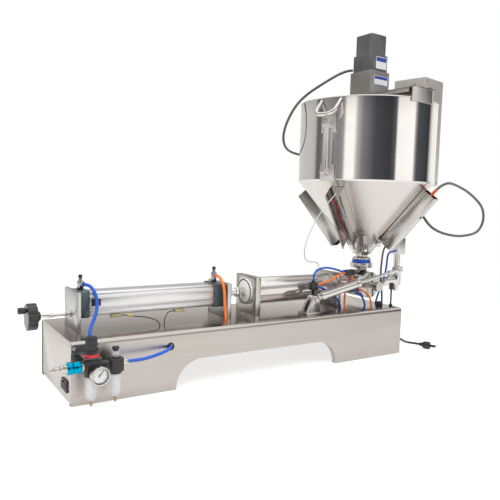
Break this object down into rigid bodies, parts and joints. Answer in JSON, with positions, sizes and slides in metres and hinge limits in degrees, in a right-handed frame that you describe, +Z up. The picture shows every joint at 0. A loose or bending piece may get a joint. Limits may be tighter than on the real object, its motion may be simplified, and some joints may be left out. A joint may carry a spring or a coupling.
{
  "type": "cream filling machine",
  "caption": "Bench piston filler: air cylinder, product cylinder, rotary valve, heated hopper with mixer, control box and filling nozzle on a folded steel base.",
  "frame": {"origin": "on the floor under the middle of the machine's bounding box, cords left out", "axes": "+X along the base towards the filling nozzle, +Y to the back, +Z up"},
  "size_m": [1.4283, 0.4645, 0.97],
  "materials": {
    "satin_steel": "brushed stainless steel",
    "bright_steel": "polished stainless steel",
    "aluminium": "satin aluminium",
    "teal_paint": "dark teal coating on cast aluminium",
    "brass": "nickelled brass",
    "black_plastic": "moulded black plastic",
    "white_plastic": "white food-grade plastic",
    "blue_rubber": "blue food-grade silicone rubber",
    "black_rubber": "black rubber sheath",
    "dark_paint": "dark grey enamel",
    "cyan_paint": "cyan anodised sleeve",
    "clear_bowl": "clear polycarbonate",
    "blue_tube": "blue polyurethane tube",
    "orange_tube": "orange polyurethane tube",
    "grey_cable": "grey cable sheath",
    "white_wire": "white wire insulation"
  },
  "bodies": {
    "machine": {"base_cover": "satin_steel", "end_panels": "satin_steel", "panel_fittings": "black_plastic", "air_valve_block": "aluminium", "cylinder_plates": "aluminium", "air_caps": "teal_paint", "air_barrel": "aluminium", "reed_sensors": "black_plastic", "flow_controls": "brass", "product_plates": "satin_steel", "product_tube": "bright_steel", "valve_body": "satin_steel", "pen_bracket": "satin_steel", "tube_fittings": "black_plastic", "nozzle_body": "bright_steel", "nozzle_cylinder": "aluminium", "neck_gasket": "blue_rubber", "neck_clamp": "satin_steel", "hopper_jacket": "satin_steel", "hopper_pan": "satin_steel", "heater_channels": "satin_steel", "level_gauge": "satin_steel", "jacket_fittings": "satin_steel", "motor_beam": "satin_steel", "gearbox": "aluminium", "motor": "dark_paint", "control_box": "satin_steel", "air_unit_bracket": "dark_paint", "regulator_body": "aluminium", "lubricator_body": "aluminium", "air_bowls": "clear_bowl", "pressure_gauge": "dark_paint", "slide_valve": "bright_steel", "air_tubes": "blue_tube", "supply_tube": "blue_tube", "pen_tubes": "blue_tube", "deck_tubes": "orange_tube", "motor_cable": "grey_cable", "loop_cable": "grey_cable", "sensor_wires": "white_wire", "mains_lead": "black_rubber", "mains_coil": "black_rubber", "mains_plug": "black_rubber"},
    "pistons": {"piston_rod": "bright_steel", "product_piston": "white_plastic"},
    "handwheel": {"handwheel": "black_plastic"},
    "crank": {"crank_handle": "black_plastic"},
    "valve_turner": {"valve_plug": "satin_steel", "valve_lever": "satin_steel"},
    "pen_barrel": {"pen_barrel": "bright_steel"},
    "pen_rod": {"pen_rod": "bright_steel"},
    "nozzle_needle": {"nozzle_plunger": "bright_steel"},
    "mixer": {"mixer": "satin_steel"},
    "regulator_knob": {"regulator_knob": "black_plastic"},
    "gauge_needle": {"gauge_needle": "dark_paint"},
    "rear_flow_knob": {"rear_flow_knob": "black_plastic"},
    "front_flow_knob": {"front_flow_knob": "black_plastic"},
    "slide_sleeve": {"slide_sleeve": "cyan_paint"},
    "switch_rocker": {"switch_rocker": "black_plastic"},
    "speed_knob": {"speed_knob": "black_plastic"}
  },
  "joints": [
    {"name": "piston_stroke", "type": "slide", "parent": "machine", "child": "pistons", "axis": [1, 0, 0], "range_m": [0, 0.225]},
    {"name": "handwheel_turn", "type": "hinge", "parent": "machine", "child": "handwheel", "pos_m": [-0.65364, 0, 0.176], "axis": [1, 0, 0], "range_deg": [-1080, 1080]},
    {"name": "crank_handle_spin", "type": "hinge", "parent": "handwheel", "child": "crank", "pos_m": [-0.67664, -0.01, 0.19332], "axis": [1, 0, 0], "continuous": true},
    {"name": "valve_turn", "type": "hinge", "parent": "machine", "child": "valve_turner", "pos_m": [0.34336, 0, 0.2005], "axis": [0, -1, 0], "range_deg": [0, 90]},
    {"name": "pen_swing", "type": "hinge", "parent": "machine", "child": "pen_barrel", "pos_m": [0.07936, -0.0925, 0.182], "axis": [0, -1, 0], "range_deg": [0, 11.42]},
    {"name": "pen_stroke", "type": "slide", "parent": "pen_barrel", "child": "pen_rod", "axis": [0.9789, 0, 0.2042], "range_m": [-0.11282, 0]},
    {"name": "nozzle_lift", "type": "slide", "parent": "machine", "child": "nozzle_needle", "axis": [0, 0, 1], "range_m": [0, 0.012]},
    {"name": "mixer_spin", "type": "hinge", "parent": "machine", "child": "mixer", "pos_m": [0.34336, 0, 0.7], "axis": [0, 0, 1], "continuous": true},
    {"name": "regulator_turn", "type": "hinge", "parent": "machine", "child": "regulator_knob", "pos_m": [-0.58064, -0.1795, 0.14], "axis": [0, 0, -1], "range_deg": [-460, 258]},
    {"name": "gauge_reading", "type": "hinge", "parent": "machine", "child": "gauge_needle", "pos_m": [-0.57164, -0.2105, 0.084], "axis": [0, 1, 0], "range_deg": [-173, 97]},
    {"name": "rear_flow_turn", "type": "hinge", "parent": "machine", "child": "rear_flow_knob", "pos_m": [-0.55314, 0, 0.262], "axis": [0, 0, 1], "range_deg": [0, 1440]},
    {"name": "front_flow_turn", "type": "hinge", "parent": "machine", "child": "front_flow_knob", "pos_m": [-0.19314, 0, 0.268], "axis": [0, 0, 1], "range_deg": [0, 1440]},
    {"name": "air_sleeve_slide", "type": "slide", "parent": "machine", "child": "slide_sleeve", "axis": [1, 0, 0], "range_m": [-0.008, 0]},
    {"name": "switch_tilt", "type": "hinge", "parent": "machine", "child": "switch_rocker", "pos_m": [-0.60964, -0.0885, 0.035], "axis": [0, 0, 1], "range_deg": [-18, 0]},
    {"name": "speed_knob_turn", "type": "hinge", "parent": "machine", "child": "speed_knob", "pos_m": [0.67714, 0.05919, 0.8], "axis": [0.9781, 0.2079, 0], "range_deg": [0, 270]}
  ],
  "couplings": [
    {"joint": "pen_swing", "follows": "valve_turn", "ratio": 0.12675},
    {"joint": "pen_stroke", "follows": "valve_turn", "m_per_rad": -0.071759},
    {"joint": "gauge_reading", "follows": "regulator_turn", "ratio": 0.375}
  ]
}
